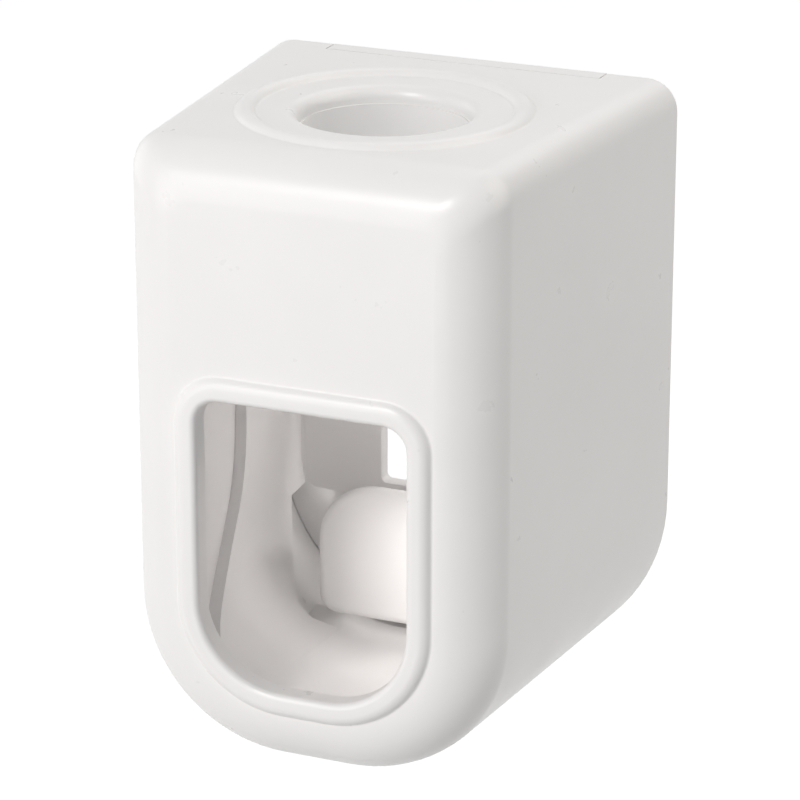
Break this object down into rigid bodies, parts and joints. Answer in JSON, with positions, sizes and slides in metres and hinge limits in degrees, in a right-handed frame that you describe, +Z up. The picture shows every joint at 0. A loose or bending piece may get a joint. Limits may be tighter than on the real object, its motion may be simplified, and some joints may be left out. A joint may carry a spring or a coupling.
{
  "type": "toothpaste dispenser",
  "caption": "Wall-hung toothpaste dispenser: a drafted housing with a round floor, a tube well in the top, and a push lever and silicone pump behind an arched window.",
  "frame": {"origin": "centre of the face that lies against the wall, half-way up the body", "axes": "+Y into the wall, so the front faces -Y; +Z up; +X to the right seen from the front"},
  "size_m": [0.06, 0.056, 0.0858],
  "materials": {
    "shell_white": "satin moulded ABS",
    "inner_white": "satin moulded ABS",
    "silicone": "milky silicone",
    "steel": "zinc plated",
    "dark_rubber": "moulded"
  },
  "bodies": {
    "housing": {"outer_shell": "shell_white", "brush_tray": "inner_white", "rear_cover": "shell_white", "cover_screws": "steel", "lever_axle": "steel", "axle_clips": "steel", "return_spring": "steel", "stop_bumper": "dark_rubber", "pump_deck": "inner_white", "deck_screws": "steel", "outlet_nozzle": "inner_white", "outlet_valve": "silicone", "nozzle_o_ring": "dark_rubber", "pump_bulb": "silicone", "lower_clamp_ring": "inner_white", "upper_clamp_ring": "inner_white", "clamp_screws": "steel", "inlet_valve": "silicone", "pump_head": "inner_white", "head_screws": "steel", "tube_seal": "silicone", "seal_retainer": "inner_white"},
    "lever": {"push_lever": "inner_white"}
  },
  "joints": [
    {"name": "lever_hinge", "type": "hinge", "parent": "housing", "child": "lever", "pos_m": [0, -0.0075, -0.0005], "axis": [1, 0, 0], "range_deg": [0, 11], "stiffness_Nm_per_rad": 0.02, "springref_deg": -28.65, "deforming": ["pump_bulb", "return_spring"]}
  ]
}
